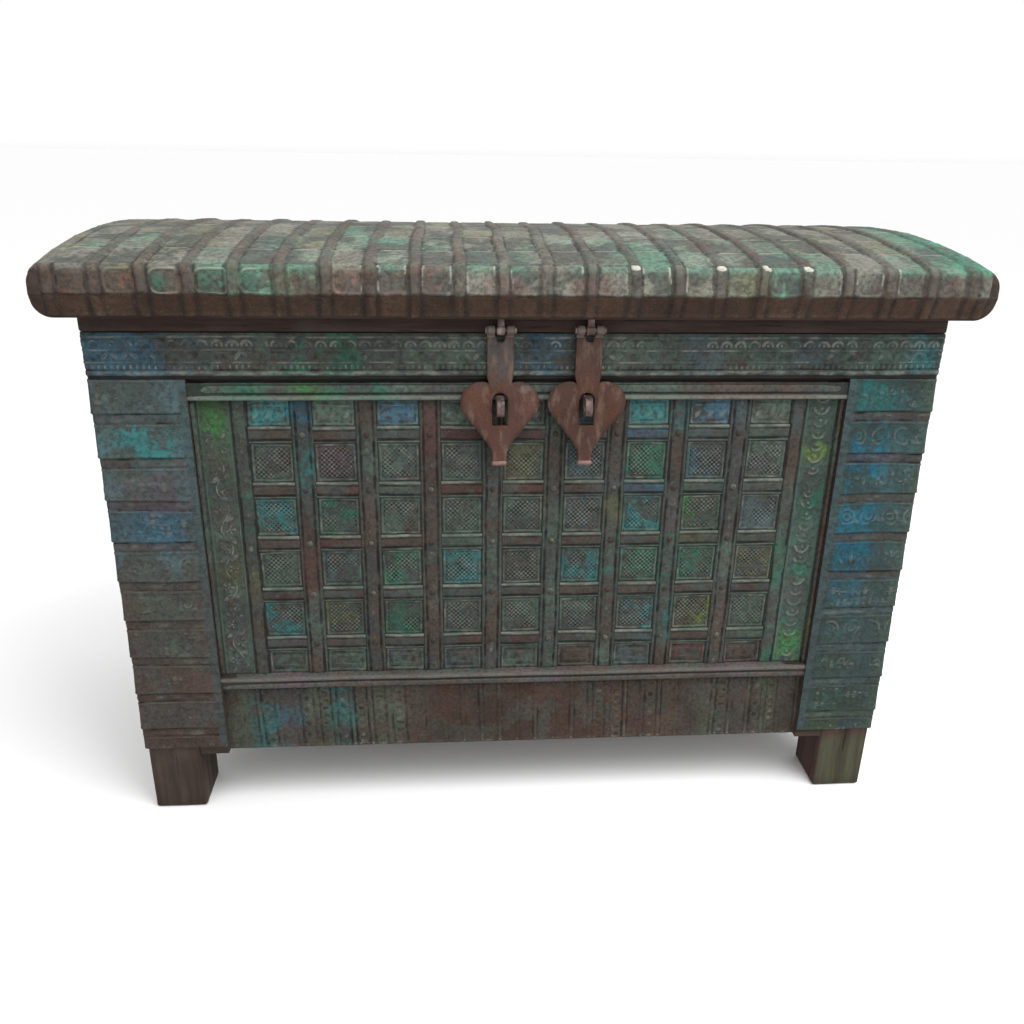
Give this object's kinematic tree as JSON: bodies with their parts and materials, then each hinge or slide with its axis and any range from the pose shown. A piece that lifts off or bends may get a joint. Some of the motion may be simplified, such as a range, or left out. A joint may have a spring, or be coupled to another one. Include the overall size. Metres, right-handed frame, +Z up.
{
  "type": "wooden chest",
  "caption": "Timber storage chest on square feet, embossed metal front, crowned ribbed lid on back hinges, heart-shaped hasps over padlock eyes.",
  "frame": {"origin": "on the floor under the middle of the closed chest's box", "axes": "+X to the right seen from the front, along the chest; +Y from the front to the back; +Z up"},
  "size_m": [1.174, 0.5655, 0.834],
  "materials": {
    "old_timber": "weathered, dark, matt",
    "rim_timber": "weathered reddish brown, worn edges",
    "panel_cladding": "embossed sheet, worn dark green paint over brown grime",
    "post_cladding": "embossed sheet, worn blue and teal paint over brown",
    "apron_cladding": "embossed sheet, mostly bare and brown with traces of teal",
    "lid_cladding": "ribbed sheet, worn grey-green paint, brown edge",
    "rusty_iron": "forged, rusty, dull"
  },
  "bodies": {
    "carcass": {"leg_front_left": "old_timber", "leg_front_right": "old_timber", "leg_back_left": "old_timber", "leg_back_right": "old_timber", "bottom_rail_front": "old_timber", "bottom_rail_back": "old_timber", "bottom_rail_left": "old_timber", "bottom_rail_right": "old_timber", "top_rail_front": "old_timber", "top_rail_back": "old_timber", "top_rail_left": "old_timber", "top_rail_right": "old_timber", "rim_front": "rim_timber", "rim_back": "rim_timber", "rim_left": "rim_timber", "rim_right": "rim_timber", "front_board_lower": "old_timber", "front_board_upper": "old_timber", "back_board_lower": "old_timber", "back_board_upper": "old_timber", "left_board_lower": "old_timber", "left_board_upper": "old_timber", "right_board_lower": "old_timber", "right_board_upper": "old_timber", "stile_left": "old_timber", "stile_right": "old_timber", "floor_board_front": "old_timber", "floor_board_middle": "old_timber", "floor_board_back": "old_timber", "floor_bearers": "old_timber", "post_skin_left": "post_cladding", "post_skin_right": "post_cladding", "top_band_skin": "panel_cladding", "panel_sheet": "panel_cladding", "apron_sheet": "apron_cladding", "top_moulding": "rim_timber", "bottom_moulding": "rim_timber", "side_mouldings": "rim_timber", "panel_ribs": "panel_cladding", "panel_bands": "panel_cladding", "cladding_nails": "rusty_iron", "padlock_eye_left": "rusty_iron", "padlock_eye_right": "rusty_iron", "hinge_body_leaves": "rusty_iron", "hinge_pins": "rusty_iron"},
    "lid": {"lid_board_front": "old_timber", "lid_board_back": "old_timber", "lid_rail_front": "old_timber", "lid_rail_back": "old_timber", "lid_end_left": "old_timber", "lid_end_right": "old_timber", "lid_sheet": "lid_cladding", "lid_ribs": "lid_cladding", "lid_eyes": "rusty_iron", "hinge_lid_leaves": "rusty_iron"},
    "hasp_left": {"hasp_plate_left": "rusty_iron", "hasp_pin_left": "rusty_iron"},
    "hasp_right": {"hasp_plate_right": "rusty_iron", "hasp_pin_right": "rusty_iron"}
  },
  "joints": [
    {"name": "lid_hinge", "type": "hinge", "parent": "carcass", "child": "lid", "pos_m": [0, 0.27575, 0.7405], "axis": [-1, 0, 0], "range_deg": [0, 100]},
    {"name": "hasp_left_hinge", "type": "hinge", "parent": "lid", "child": "hasp_left", "pos_m": [-0.034, -0.24975, 0.725], "axis": [-1, 0, 0], "range_deg": [0, 110]},
    {"name": "hasp_right_hinge", "type": "hinge", "parent": "lid", "child": "hasp_right", "pos_m": [0.079, -0.24975, 0.725], "axis": [-1, 0, 0], "range_deg": [0, 110]}
  ]
}
